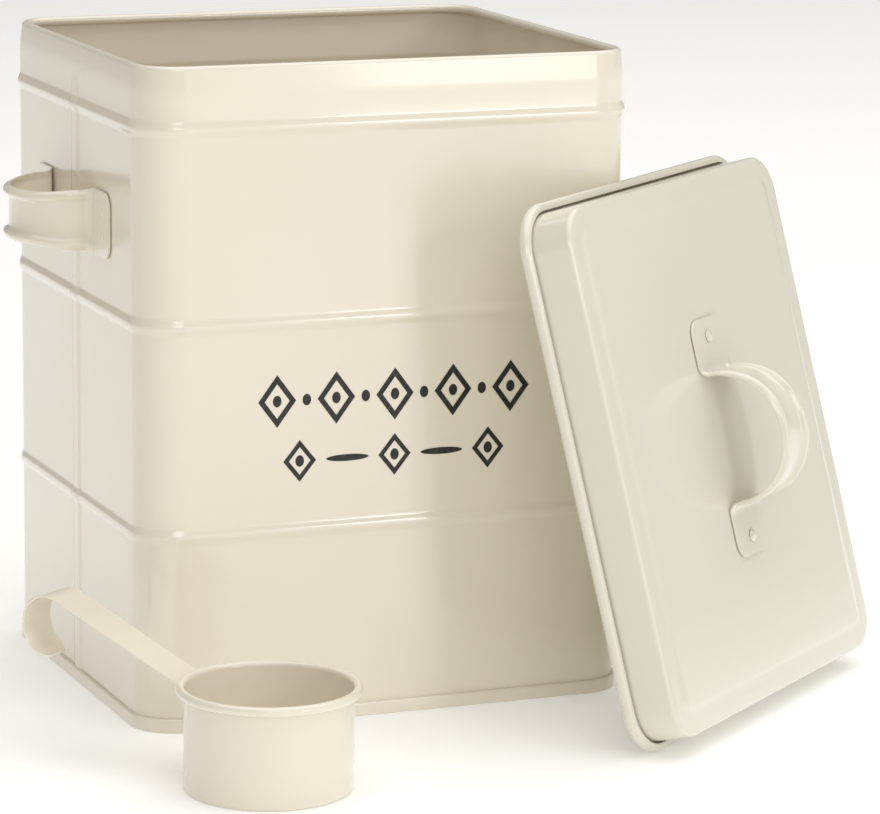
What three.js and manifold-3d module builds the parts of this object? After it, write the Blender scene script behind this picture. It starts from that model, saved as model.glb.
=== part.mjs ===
// Laundry powder tin: a seamed sheet steel box with two strap handles, its lid taken off and
// leaning on it, and its measuring scoop standing in front.
// Millimetres, +Z up. The tin's front faces -Y. The origin is the middle of the whole set's
// footprint, on the surface that it stands on.
import * as THREE from 'three';
import { mergeVertices } from 'three/addons/utils/BufferGeometryUtils.js';
import Module from 'manifold-3d';

const wasm = await Module();
wasm.setup();

// Sheet steel and the room that is left where one piece seats on another
const sheet = 0.6;
const strapSheet = 0.8;
const seatGap = 0.3;

// Tin body
const tinWidth = 196;
const tinDepth = 172;
const tinHeight = 250;
const cornerRadius = 17;
const rimRoll = 3.3;
const collarTaper = 0.9;
const collarTaperHeight = 12;

// Beads pressed around the body, set out from the rim down
const beadHeight = 7.2;
const beadProud = 1.0;
const beadSpacing = 73.2;
const lowBeadSpacing = 79;
const beadForm = [
  [0, -0.5],
  [0.62, -0.27],
  [1, 0],
  [0.62, 0.27],
  [0, 0.5],
];

// Lap seam up the middle of the left wall
const lapWidth = 6;
const lapEdge = 2;
const lapLift = 0.5;
const lapRunOut = 3;

// Foot, where the bottom panel is seamed on
const footHeight = 5.3;
const footProud = 1.2;
const panelRecess = 3.2;

// Lid
const lidHeight = 20;
const lidClearance = 1.2;
const lidEdgeRadius = 1.8;
const lidCornerRadius = 14.6;
const lidRoll = 4.4;
const lidRollGap = 0.9;
const panelBorder = 8.5;
const panelStep = 0.5;
const panelStepRun = 2.4;

// How the lid leans on the tin's front right corner
const lidPlanAngle = THREE.MathUtils.degToRad(38.8);
const lidLean = THREE.MathUtils.degToRad(15.2);
const lidSlide = 5.7;

// Strap handles: one on each side of the tin, one on the lid
const handleSpan = 56.4;
const sideHandleRise = 24.8;
const lidHandleRise = 28;
const handleBend = 3.1;
const tabLength = 18;
const tabWidth = 25.4;
const tabCorner = 6;
const strapWidth = 20.5;
const strapBeadWidth = 4.6;
const strapBeadProud = 2.2;
const handleDrop = 64.3;
const strapEdgeForm = [
  [0, 0.1],
  [0.22, 0.8],
  [0.5, 1],
  [0.8, 0.55],
  [1, 0],
];

// Rivets through the tabs of the lid's handle
const rivetHeadRadius = 2.5;
const rivetHeadRise = 0.7;
const rivetHeadEdge = 0.2;
const rivetCrownInset = 0.8;
const rivetShankRadius = 1.3;
const rivetFromTabEnd = 7.2;

// Scoop
const cupRadius = 30.7;
const cupHeight = 38.5;
const cupBaseRadius = 1.6;
const cupRoll = 3.5;
const cupRollGap = 0.8;
const scoopX = -77.2;
const scoopY = -163.4;
const scoopTurn = THREE.MathUtils.degToRad(126);

// Scoop handle
const scoopStrapWidth = 16.2;
const scoopTabHeight = 11;
const scoopTabDrop = 6.9;
const scoopRise = THREE.MathUtils.degToRad(23);
const scoopReach = 61.3;
const scoopBend = 2;
const hookRadius = 10.8;
const hookTipRadius = 14;
const hookTipSweep = THREE.MathUtils.degToRad(72);
const hookTipCorner = 5;

// How finely round stretches are cut
const cornerSteps = 6;
const rollSteps = 7;
const bendSteps = 3;
const archSteps = 12;
const hookSteps = 8;
const hookTipSteps = 3;
const tipCornerSteps = 4;
const roundSteps = 32;
const rivetSteps = 16;

// Enamel and bare steel
const enamel = { color: 0xe9e3d0, roughness: 0.22, metalness: 0.0 };
const enamelGrey = { color: 0xdedbcb, roughness: 0.24, metalness: 0.0 };

/** A named mesh with a material of its own. */
function piece(name, geometry, finish) {
  const mesh = new THREE.Mesh(geometry, new THREE.MeshStandardMaterial(finish));
  mesh.name = name;
  return mesh;
}

/** Points along an arc, both ends included. */
function arc(x, y, radius, from, to, steps) {
  return Array.from({ length: steps + 1 }, (_, i) => {
    const angle = from + ((to - from) * i) / steps;
    return [x + radius * Math.cos(angle), y + radius * Math.sin(angle)];
  });
}

/** The rounded rectangle's outline: each point knows its corner's centre and the way out of it. */
function roundedOutline(width, depth, radius) {
  const points = [];
  for (let corner = 0; corner < 4; corner += 1) {
    const start = (corner * Math.PI) / 2;
    const middle = start + Math.PI / 4;
    const x = Math.sign(Math.cos(middle)) * (width / 2 - radius);
    const y = Math.sign(Math.sin(middle)) * (depth / 2 - radius);
    for (let i = 0; i <= cornerSteps; i += 1) {
      const angle = start + (i * Math.PI) / 2 / cornerSteps;
      points.push({ x, y, ux: Math.cos(angle), uy: Math.sin(angle), radius, lap: 0 });
    }
  }
  return points;
}

/** The tin's outline, with the lap seam's step let into the left wall. */
function tinOutline() {
  const points = roundedOutline(tinWidth, tinDepth, cornerRadius);
  const left = points.findIndex((p) => p.ux < -0.999 && p.y > 0) + 1;
  const x = -tinWidth / 2 + cornerRadius;
  const seam = [
    [lapEdge + lapLift / 2, 0],
    [lapEdge, 1],
    [lapEdge - lapWidth, 1],
    [lapEdge - lapWidth - lapRunOut, 0],
  ];
  const steps = seam.map(([y, lap]) => ({ x, y, ux: -1, uy: 0, radius: cornerRadius, lap }));
  points.splice(left, 0, ...steps);
  return points;
}

/** The place on an outline at an offset outwards and a height. */
function outlinePoint(p, offset, z, lapped) {
  const reach = p.radius + offset + (lapped ? p.lap * lapLift : 0);
  return [p.x + reach * p.ux, p.y + reach * p.uy, z];
}

/** A geometry from rings of places: neighbours are joined, and the ends are joined or capped. */
function skin(rings, closed) {
  const count = rings[0].length;
  const positions = rings.flat(2);
  const faces = [];
  const last = closed ? rings.length : rings.length - 1;
  for (let r = 0; r < last; r += 1) {
    const here = r * count;
    const next = ((r + 1) % rings.length) * count;
    for (let i = 0; i < count; i += 1) {
      const j = (i + 1) % count;
      faces.push(here + i, here + j, next + j, here + i, next + j, next + i);
    }
  }
  if (!closed) {
    const end = (rings.length - 1) * count;
    for (const [a, b, c] of capFaces(rings[0])) {
      faces.push(a, c, b);
    }
    for (const [a, b, c] of capFaces(rings[rings.length - 1])) {
      faces.push(end + a, end + b, end + c);
    }
  }
  return solidFrom(positions, faces);
}

/** Triangles that fill a flat ring, wound the way the ring runs. */
function capFaces(ring) {
  const normal = new THREE.Vector3();
  const centre = new THREE.Vector3();
  ring.forEach((p) => centre.add(new THREE.Vector3(...p)));
  centre.divideScalar(ring.length);
  ring.forEach((p, i) => {
    const a = new THREE.Vector3(...p).sub(centre);
    const b = new THREE.Vector3(...ring[(i + 1) % ring.length]).sub(centre);
    normal.add(a.cross(b));
  });
  const flat = new THREE.Quaternion().setFromUnitVectors(normal.normalize(), new THREE.Vector3(0, 0, 1));
  const contour = ring.map((p) => {
    const v = new THREE.Vector3(...p).sub(centre).applyQuaternion(flat);
    return new THREE.Vector2(v.x, v.y);
  });
  return THREE.ShapeUtils.triangulateShape(contour, []).map(([a, b, c]) => {
    const turnsLeft = THREE.ShapeUtils.area([contour[a], contour[b], contour[c]]) > 0;
    return turnsLeft ? [a, b, c] : [a, c, b];
  });
}

/** An indexed geometry, turned face out when its rings ran the other way. */
function solidFrom(positions, faces) {
  let volume = 0;
  const at = (i) => new THREE.Vector3(positions[3 * i], positions[3 * i + 1], positions[3 * i + 2]);
  for (let f = 0; f < faces.length; f += 3) {
    volume += at(faces[f]).dot(at(faces[f + 1]).cross(at(faces[f + 2])));
  }
  const outward = volume > 0 ? faces : faces.map((_, i) => faces[i - (i % 3) + 2 - (i % 3)]);
  const geometry = new THREE.BufferGeometry();
  geometry.setAttribute('position', new THREE.Float32BufferAttribute(positions, 3));
  geometry.setIndex(outward);
  geometry.computeVertexNormals();
  return geometry;
}

/** A section of offsets and heights taken round an outline. */
function sweep(outline, section, closed) {
  const rings = section.map(([offset, z, lapped]) => outline.map((p) => outlinePoint(p, offset, z, lapped)));
  return skin(rings, closed);
}

/** Heights of the beads' middles: the lid's roll stops on the top one. */
function beadHeights() {
  const top = tinHeight + sheet - lidHeight - seatGap - beadHeight / 2;
  return [top - beadSpacing - lowBeadSpacing, top - beadSpacing, top];
}

/** One bead's bulge as offsets and heights from its middle. */
function beadBulge() {
  return beadForm.map(([out, up]) => [out * beadProud, up * beadHeight]);
}

/** The body wall's section from above its foot up to where the collar tapers in. */
function wallFace() {
  const face = beadHeights().flatMap((z) => beadBulge().map(([out, up]) => [out, z + up, true]));
  return [[0, footHeight + 2 * seatGap, true], ...face, [0, tinHeight - collarTaperHeight, false]];
}

/** The body wall: one sheet with its beads, lap seam, tapered collar and rolled rim. */
function tinWall() {
  const foot = sheet + seatGap;
  const rollRadius = rimRoll / 2;
  const rollOffset = -collarTaper - rollRadius;
  const rollHeight = tinHeight - rollRadius;
  const outside = arc(rollOffset, rollHeight, rollRadius, 0, 1.5 * Math.PI, rollSteps);
  const inside = arc(rollOffset, rollHeight, rollRadius - sheet, 1.5 * Math.PI, 0, rollSteps);
  const inner = wallFace().map(([offset, z]) => [offset - sheet, z]).reverse();
  const section = [
    [0, foot],
    [0, footHeight + seatGap],
    ...wallFace(),
    ...outside,
    ...inside,
    ...inner,
    [-sheet, foot],
  ];
  return piece('tin_wall', sweep(tinOutline(), section, true), enamel);
}

/** The bottom panel, countersunk and seamed round the foot of the wall. */
function tinBase() {
  const inner = -sheet - seatGap;
  const round = footProud / 3;
  const section = [
    [inner - sheet, panelRecess + sheet],
    [inner - sheet, footHeight],
    [inner, footHeight],
    [inner, sheet],
    [seatGap, sheet],
    [seatGap, footHeight],
    [footProud - round, footHeight],
    [footProud, footHeight - round],
    [footProud, round],
    [footProud - round, 0],
    [inner - sheet, 0],
    [inner - sheet, panelRecess],
  ];
  const outline = roundedOutline(tinWidth, tinDepth, cornerRadius);
  return piece('tin_base', sweep(outline, section, false), enamel);
}

/** A strap handle's path in plan: place, way out and how far along the tab or arch it is. */
function handlePath(rise) {
  const half = handleSpan / 2;
  const low = seatGap + strapSheet;
  const archHalf = half - handleBend;
  const archRise = rise - handleBend - low;
  const stations = [];
  const end = half + tabLength;
  for (let i = 0; i <= bendSteps; i += 1) {
    const turn = (i * Math.PI) / 2 / bendSteps;
    const narrowing = tabCorner * (1 - Math.sin(turn));
    stations.push({ p: end - tabCorner * (1 - Math.cos(turn)), q: low, np: 0, nq: 1, narrow: narrowing, form: 0 });
  }
  for (let i = 0; i <= bendSteps; i += 1) {
    const turn = (i * Math.PI) / 2 / bendSteps;
    stations.push({
      p: half - handleBend * Math.sin(turn),
      q: low + handleBend * (1 - Math.cos(turn)),
      np: Math.sin(turn),
      nq: Math.cos(turn),
      narrow: 0,
      form: (0.5 * i) / bendSteps,
    });
  }
  for (let i = 1; i <= archSteps / 2; i += 1) {
    const turn = (i * Math.PI) / archSteps;
    const normal = new THREE.Vector2(Math.cos(turn) / archHalf, Math.sin(turn) / archRise).normalize();
    stations.push({
      p: archHalf * Math.cos(turn),
      q: low + handleBend + archRise * Math.sin(turn),
      np: normal.x,
      nq: normal.y,
      narrow: 0,
      form: Math.min(1, 0.5 + (1.5 * i) / archSteps),
    });
  }
  const mirrored = stations.slice(0, -1).reverse().map((s) => ({ ...s, p: -s.p, np: -s.np }));
  return [...stations, ...mirrored];
}

/** The strap's section: a flat strip with a bead pressed along each edge, from edge to edge. */
function strapSection(width, bead) {
  const right = strapEdgeForm.map(([inwards, out]) => [width / 2 - inwards * strapBeadWidth, out * bead]);
  const left = right.map(([s, h]) => [-s, h]).reverse();
  return [...right, ...left];
}

/** A strap handle's solid, along X with its tabs on the XY plane and its arch up Z. */
function handleGeometry(rise) {
  const rings = handlePath(rise).map((station) => {
    const width = tabWidth - 2 * station.narrow + (strapWidth - tabWidth) * station.form;
    const outer = strapSection(width, strapBeadProud * station.form);
    const inner = outer.map(([s, h]) => [s, h - strapSheet]).reverse();
    return [...outer, ...inner].map(([s, h]) => [station.p + h * station.np, s, station.q + h * station.nq]);
  });
  return skin(rings, false);
}

/** A side handle, its tabs flat on the wall that faces along X. */
function sideHandle(name, side) {
  const mesh = piece(name, handleGeometry(sideHandleRise), enamel);
  mesh.rotation.set(Math.PI / 2, 0, (side * Math.PI) / 2, 'ZYX');
  mesh.position.set((side * tinWidth) / 2, 0, tinHeight - handleDrop);
  return mesh;
}

/** The lid's pressing: stepped panel, rounded edge, skirt and outward rolled edge. */
function lidShell() {
  const rollRadius = lidRoll / 2;
  const rollOffset = rollRadius - sheet;
  const rollEnd = Math.acos((lidRollGap - rollOffset) / rollRadius);
  const underRadius = lidEdgeRadius - sheet;
  const section = [
    [-panelBorder - panelStepRun, lidHeight + panelStep],
    [-panelBorder, lidHeight],
    ...arc(-lidEdgeRadius, lidHeight - lidEdgeRadius, lidEdgeRadius, Math.PI / 2, 0, bendSteps),
    ...arc(rollOffset, rollRadius, rollRadius - sheet, Math.PI, 2 * Math.PI + rollEnd, rollSteps + 1),
    ...arc(rollOffset, rollRadius, rollRadius, 2 * Math.PI + rollEnd, Math.PI, rollSteps + 1),
    ...arc(-lidEdgeRadius, lidHeight - lidEdgeRadius, underRadius, 0, Math.PI / 2, bendSteps),
    [-panelBorder, lidHeight - sheet],
    [-panelBorder - panelStepRun, lidHeight + panelStep - sheet],
  ];
  const outline = roundedOutline(lidLength(), lidBreadth(), lidCornerRadius);
  return piece('lid_shell', sweep(outline, section, false), enamelGrey);
}

/** The lid's skirt, outside, along the tin's width. */
function lidLength() {
  return tinWidth + 2 * (lidClearance + sheet);
}

/** The lid's skirt, outside, along the tin's depth. */
function lidBreadth() {
  return tinDepth + 2 * (lidClearance + sheet);
}

/** The lid's panel, outside, from its open edge. */
function panelTop() {
  return lidHeight + panelStep;
}

/** A solid that can be cut, from a closed geometry. */
function manifoldOf(geometry) {
  const bare = geometry.clone();
  bare.deleteAttribute('normal');
  bare.deleteAttribute('uv');
  const merged = mergeVertices(bare);
  const vertProperties = new Float32Array(merged.attributes.position.array);
  const triVerts = new Uint32Array(merged.index.array);
  return new wasm.Manifold(new wasm.Mesh({ numProp: 3, vertProperties, triVerts }));
}

/** A geometry from a cut solid. */
function geometryOf(solid) {
  const mesh = solid.getMesh();
  const geometry = new THREE.BufferGeometry();
  geometry.setAttribute('position', new THREE.Float32BufferAttribute(mesh.vertProperties, 3));
  geometry.setIndex([...mesh.triVerts]);
  geometry.computeVertexNormals();
  return geometry;
}

/** Drills the holes of the two lid rivets right through a piece of the lid. */
function drillLid(mesh) {
  const reach = 2 * lidHeight;
  const drill = new THREE.CylinderGeometry(
    rivetShankRadius + seatGap,
    rivetShankRadius + seatGap,
    2 * reach,
    rivetSteps,
  );
  drill.rotateX(Math.PI / 2);
  const cut = rivetPlaces().reduce(
    (solid, x) => solid.subtract(manifoldOf(drill.clone().translate(x, 0, 0))),
    manifoldOf(mesh.geometry),
  );
  mesh.geometry = geometryOf(cut);
}

/** How far along the lid its rivets are, the upper one first. */
function rivetPlaces() {
  const along = handleSpan / 2 + tabLength - rivetFromTabEnd;
  return [along, -along];
}

/** A rivet with its outside head on the handle's tab and its inside head under the lid's panel. */
function lidRivet(name, x) {
  const top = panelTop() + 2 * seatGap + strapSheet;
  const bottom = panelTop() - sheet - seatGap;
  const crown = (side) => [
    [rivetHeadRadius, side * rivetHeadEdge],
    [rivetHeadRadius - rivetCrownInset, side * (rivetHeadRise - rivetHeadEdge)],
    [0, side * rivetHeadRise],
  ];
  const profile = [
    ...crown(-1).map(([r, z]) => [r, bottom + z]).reverse(),
    [rivetHeadRadius, bottom],
    [rivetShankRadius, bottom],
    [rivetShankRadius, top],
    [rivetHeadRadius, top],
    ...crown(1).map(([r, z]) => [r, top + z]),
  ];
  const lathe = new THREE.LatheGeometry(profile.map(([r, z]) => new THREE.Vector2(r, z)), rivetSteps);
  return piece(name, lathe.rotateX(Math.PI / 2).translate(x, 0, 0), enamelGrey);
}

/** The lid with its handle and rivets, lying flat with its open edge on the XY plane. */
function lidParts() {
  const group = new THREE.Group();
  const shell = lidShell();
  const strap = handleGeometry(lidHandleRise).translate(0, 0, panelTop());
  const handle = piece('lid_handle', strap, enamelGrey);
  drillLid(shell);
  drillLid(handle);
  const [upper, lower] = rivetPlaces();
  group.add(shell, handle, lidRivet('lid_rivet_upper', upper), lidRivet('lid_rivet_lower', lower));
  return group;
}

/** The lid stood on its short edge, leaning its top edge on the tin's front right corner. */
function leaningLid() {
  const rollCentre = lidLength() / 2 + lidRoll / 2 - sheet;
  const up = Math.PI / 2 - lidLean;
  const flat = lidParts();
  const lean = new THREE.Group();
  lean.rotation.y = -up;
  lean.position.z = lidRoll / 2 + rollCentre * Math.sin(up) - (lidRoll / 2) * Math.cos(up);
  lean.add(flat);
  const stand = new THREE.Group();
  stand.rotation.z = Math.PI / 2 + lidPlanAngle;
  const back = new THREE.Vector2(-Math.sin(lidPlanAngle), Math.cos(lidPlanAngle));
  const along = new THREE.Vector2(Math.cos(lidPlanAngle), Math.sin(lidPlanAngle));
  const topReach = rollCentre * Math.cos(up) - (lidRoll / 2) * Math.sin(up);
  const apart = cornerRadius + lidRoll / 2 + seatGap + topReach;
  const place = new THREE.Vector2(tinWidth / 2 - cornerRadius, -tinDepth / 2 + cornerRadius);
  place.addScaledVector(back, -apart).addScaledVector(along, lidSlide);
  stand.position.set(place.x, place.y, 0);
  stand.add(lean);
  return stand;
}

/** The scoop's cup: drawn in one piece, its rim rolled into a bead over the wall. */
function scoopCup() {
  const rollRadius = cupRoll / 2;
  const rollX = cupRadius - sheet + rollRadius;
  const rollZ = cupHeight - rollRadius;
  const rollEnd = -Math.acos((cupRadius + cupRollGap - rollX) / rollRadius);
  const profile = [
    [0, 0],
    ...arc(cupRadius - cupBaseRadius, cupBaseRadius, cupBaseRadius, -Math.PI / 2, 0, bendSteps),
    ...arc(rollX, rollZ, rollRadius - sheet, Math.PI, rollEnd, rollSteps + 1),
    ...arc(rollX, rollZ, rollRadius, rollEnd, Math.PI, rollSteps + 1),
    ...arc(cupRadius - cupBaseRadius, cupBaseRadius, cupBaseRadius - sheet, 0, -Math.PI / 2, bendSteps),
    [0, sheet],
  ];
  const lathe = new THREE.LatheGeometry(profile.map(([x, y]) => new THREE.Vector2(x, y)), roundSteps);
  return piece('scoop_cup', lathe.rotateX(Math.PI / 2), enamel);
}

/** The scoop handle's path from its tab up the cup and round the bend into its straight rise. */
function scoopHandlePath() {
  const wall = cupRadius + seatGap;
  const bendTurn = Math.PI / 2 - scoopRise;
  const bendX = wall + strapSheet + scoopBend;
  const bendZ = cupHeight - scoopTabDrop;
  const stations = [
    { x: wall + strapSheet, z: bendZ - scoopTabHeight, nx: 1, nz: 0, curl: 1, narrow: 0 },
  ];
  for (let i = 0; i <= bendSteps; i += 1) {
    const turn = (bendTurn * i) / bendSteps;
    stations.push({
      x: bendX - scoopBend * Math.cos(turn),
      z: bendZ + scoopBend * Math.sin(turn),
      nx: Math.cos(turn),
      nz: -Math.sin(turn),
      curl: 1 - i / bendSteps,
      narrow: 0,
    });
  }
  return stations;
}

/** A station of the hook, on a turn of the strap's outer face about a centre. */
function hookStation(centre, radius, angle, narrow) {
  return {
    x: centre.x + radius * Math.cos(angle),
    z: centre.z + radius * Math.sin(angle),
    nx: -Math.cos(angle),
    nz: -Math.sin(angle),
    curl: 0,
    narrow,
  };
}

/** The hook's stations: over its top to straight down, then round more widely to a rounded tip. */
function hookPath(start) {
  const radius = hookRadius - strapSheet;
  const tipRadius = hookTipRadius - strapSheet;
  const centre = {
    x: start.x + Math.cos(scoopRise) * scoopReach + Math.sin(scoopRise) * radius,
    z: start.z + Math.sin(scoopRise) * scoopReach - Math.cos(scoopRise) * radius,
  };
  const tipCentre = { x: centre.x + radius - tipRadius, z: centre.z };
  const from = Math.PI / 2 + scoopRise;
  const stations = [];
  for (let i = 0; i <= hookSteps; i += 1) {
    stations.push(hookStation(centre, radius, from - (from * i) / hookSteps, 0));
  }
  const rounding = hookTipCorner / tipRadius;
  const straight = hookTipSweep - rounding;
  for (let i = 1; i <= hookTipSteps; i += 1) {
    stations.push(hookStation(tipCentre, tipRadius, (-straight * i) / hookTipSteps, 0));
  }
  for (let i = 1; i <= tipCornerSteps; i += 1) {
    const turn = (i * Math.PI) / 2 / tipCornerSteps;
    const angle = -straight - rounding * Math.sin(turn);
    stations.push(hookStation(tipCentre, tipRadius, angle, hookTipCorner * (1 - Math.cos(turn))));
  }
  return stations;
}

/** The scoop's handle. */
function scoopHandle() {
  const path = scoopHandlePath();
  const rings = [...path, ...hookPath(path[path.length - 1])].map((station) => strapAcross(station));
  return piece('scoop_handle', skin(rings, false), enamel);
}

/** The scoop strap's section at a station, curled round the cup where it lies on it. */
function strapAcross(station) {
  const width = scoopStrapWidth - 2 * station.narrow;
  const across = [-0.5, -0.25, 0, 0.25, 0.5].map((share) => share * width);
  const place = (s, depth) => {
    const sag = (station.curl * s * s) / 2 / cupRadius;
    return [station.x - depth * station.nx - sag, s, station.z - depth * station.nz];
  };
  const lower = across.map((s) => place(s, 0));
  const upper = across.map((s) => place(s, strapSheet)).reverse();
  return [...lower, ...upper];
}

/** The scoop standing in front of the tin. */
function scoop() {
  const group = new THREE.Group();
  group.add(scoopCup(), scoopHandle());
  group.rotation.z = scoopTurn;
  group.position.set(scoopX, scoopY, 0);
  return group;
}

/** Everything, moved so that the origin is the middle of the footprint. */
function laundryTin() {
  const set = new THREE.Group();
  set.add(tinWall(), tinBase(), sideHandle('left_handle', -1), sideHandle('right_handle', 1));
  set.add(leaningLid(), scoop());
  set.updateMatrixWorld(true);
  const bounds = new THREE.Box3().setFromObject(set, true);
  const middle = bounds.getCenter(new THREE.Vector3());
  set.position.set(-middle.x, -middle.y, 0);
  return set;
}

export default laundryTin();
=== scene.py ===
"""Looks of a laundry powder tin with its lid leaning on it and its scoop standing in front.

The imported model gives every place. This script gives each piece its fine surface, its enamel and
the studio around it. Pieces are drawn in millimetres, +Z up, with the tin's front towards -Y, and
their last placing turns them into metres.
"""

from __future__ import annotations

import logging
from dataclasses import dataclass, field
from enum import Enum
from math import acos, asin, atan2, cos, pi, radians, sin, sqrt

import bmesh
import bpy
from mathutils import Matrix, Vector

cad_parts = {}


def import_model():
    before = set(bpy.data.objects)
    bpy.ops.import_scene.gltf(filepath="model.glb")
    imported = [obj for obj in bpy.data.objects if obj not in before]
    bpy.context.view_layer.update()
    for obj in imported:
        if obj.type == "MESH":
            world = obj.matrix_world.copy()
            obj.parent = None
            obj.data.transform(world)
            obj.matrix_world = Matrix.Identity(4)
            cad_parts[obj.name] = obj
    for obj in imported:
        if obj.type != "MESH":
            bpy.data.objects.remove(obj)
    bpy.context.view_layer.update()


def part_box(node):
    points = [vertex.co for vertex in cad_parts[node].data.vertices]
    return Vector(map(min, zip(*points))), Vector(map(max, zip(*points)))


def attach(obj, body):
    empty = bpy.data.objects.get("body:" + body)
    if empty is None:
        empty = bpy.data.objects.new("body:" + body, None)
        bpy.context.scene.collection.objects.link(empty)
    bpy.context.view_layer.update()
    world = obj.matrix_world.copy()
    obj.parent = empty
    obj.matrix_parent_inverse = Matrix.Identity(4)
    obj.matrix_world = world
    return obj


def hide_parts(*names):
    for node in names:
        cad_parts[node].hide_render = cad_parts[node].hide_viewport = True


LOG = logging.getLogger("laundry_tin")

MILLIMETRE = 0.001
BODY = "root"
SHEET = 0.6
STRAP_SHEET = 0.8
SEAT_GAP = 0.3
MERGE = 0.002
SHARP_ANGLE = radians(42)

Socket = bpy.types.NodeSocket
Material = bpy.types.Material
FormNodes = bpy.types.GeometryNodeTree
Point2 = tuple[float, float]
Point3 = tuple[float, float, float]
Colour = tuple[float, float, float]
Shade = tuple[float, float, float, float]
Station = tuple[float, float, float, float, float, float]


def arc(x: float, y: float, radius: float, start: float, end: float, steps: int) -> list[Point2]:
    """Places points along an arc, both ends included.

    Args:
        x: Centre, first coordinate.
        y: Centre, second coordinate.
        radius: Radius of the arc.
        start: Angle of the first point, in radians.
        end: Angle of the last point, in radians.
        steps: Number of chords.

    Returns:
        The points in order.
    """
    turns = (start + (end - start) * i / steps for i in range(steps + 1))
    return [(x + radius * cos(t), y + radius * sin(t)) for t in turns]


def ease(share: float) -> float:
    """Returns a smooth step from 0 to 1 for a share that is clamped to that range."""
    clamped = min(1.0, max(0.0, share))
    return clamped * clamped * (3 - 2 * clamped)


def linear(colour: Colour) -> Shade:
    """Turns a display colour of 0 to 255 into the linear colour that a shader takes.

    Args:
        colour: Red, green and blue as seen on a display.

    Returns:
        Linear red, green, blue and an alpha of 1.
    """
    shares = [c / 255 for c in colour]
    straight = [s / 12.92 if s <= 0.04045 else ((s + 0.055) / 1.055) ** 2.4 for s in shares]
    return (*straight, 1.0)


class NodeWork:
    """A node tree under construction."""

    prefix = "ShaderNode"

    def __init__(self, tree: bpy.types.NodeTree) -> None:
        """Takes a tree over."""
        self.tree = tree

    def feed(self, node: bpy.types.Node, values: dict[str, object]) -> None:
        """Links or sets a node's inputs.

        Args:
            node: Node whose inputs are fed.
            values: Input name to an output socket or a plain value.
        """
        for name, source in values.items():
            if isinstance(source, Socket):
                self.tree.links.new(source, node.inputs[name])
            else:
                node.inputs[name].default_value = source

    def add(self, kind: str, values: dict[str, object], **settings: object) -> bpy.types.Node:
        """Adds a node, sets its options and feeds its inputs.

        Args:
            kind: Node type, without the tree's prefix unless it has another one.
            values: Input name to an output socket or a plain value.
            settings: Options of the node itself.

        Returns:
            The node.
        """
        full = kind if kind.startswith("Shader") else f"{self.prefix}{kind}"
        node = self.tree.nodes.new(full)
        for option, value in settings.items():
            setattr(node, option, value)
        self.feed(node, values)
        return node


class FormTree(NodeWork):
    """A geometry node tree, with its named inputs."""

    prefix = "GeometryNode"

    def __init__(self, name: str) -> None:
        """Starts a tree that takes a geometry and a material, and gives a geometry.

        Args:
            name: Name of the tree.
        """
        super().__init__(bpy.data.node_groups.new(name, "GeometryNodeTree"))
        self._socket("Geometry", "Geometry", "OUTPUT")
        self._socket("Geometry", "Geometry")
        self._socket("Material", "Material")
        self.entry = self.tree.nodes.new("NodeGroupInput")
        self.exit = self.tree.nodes.new("NodeGroupOutput")

    def _socket(self, name: str, kind: str, way: str = "INPUT") -> None:
        """Adds a socket to the tree's own face."""
        self.tree.interface.new_socket(name, in_out=way, socket_type=f"NodeSocket{kind}")

    def number(self, name: str) -> Socket:
        """Adds a named number input and returns its socket."""
        self._socket(name, "Float")
        return self.entry.outputs[name]

    def count(self, name: str) -> Socket:
        """Adds a named whole-number input and returns its socket."""
        self._socket(name, "Int")
        return self.entry.outputs[name]

    def vector(self, x: object, y: object, z: object) -> Socket:
        """Joins three numbers or sockets into one vector socket."""
        return self.add("ShaderNodeCombineXYZ", {"X": x, "Y": y, "Z": z}).outputs[0]

    def row(
        self,
        shape: Socket,
        scale: Socket,
        count: Socket,
        start: Socket,
        step: Socket,
    ) -> Socket:
        """Sets a shape at even steps along a line.

        Args:
            shape: Geometry of the shape.
            scale: Its scale.
            count: How many there are.
            start: Place of the first.
            step: Way from one to the next.

        Returns:
            The row's geometry.
        """
        line = self.add("MeshLine", {"Count": count, "Start Location": start, "Offset": step})
        values = {"Points": line.outputs[0], "Instance": shape, "Scale": scale}
        return self.add("InstanceOnPoints", values).outputs[0]

    def finish(self, geometry: Socket) -> FormNodes:
        """Ends the tree with realized instances and the material.

        Args:
            geometry: What the tree has made.

        Returns:
            The finished tree.
        """
        real = self.add("RealizeInstances", {"Geometry": geometry}).outputs[0]
        values = {"Geometry": real, "Material": self.entry.outputs["Material"]}
        dressed = self.add("SetMaterial", values)
        self.tree.links.new(dressed.outputs[0], self.exit.inputs[0])
        return self.tree


def show(name: str, data: bpy.types.ID) -> bpy.types.Object:
    """Puts a mesh, a light or a camera into the scene and returns its object."""
    made = bpy.data.objects.new(name, data)
    bpy.context.scene.collection.objects.link(made)
    return made


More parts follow.
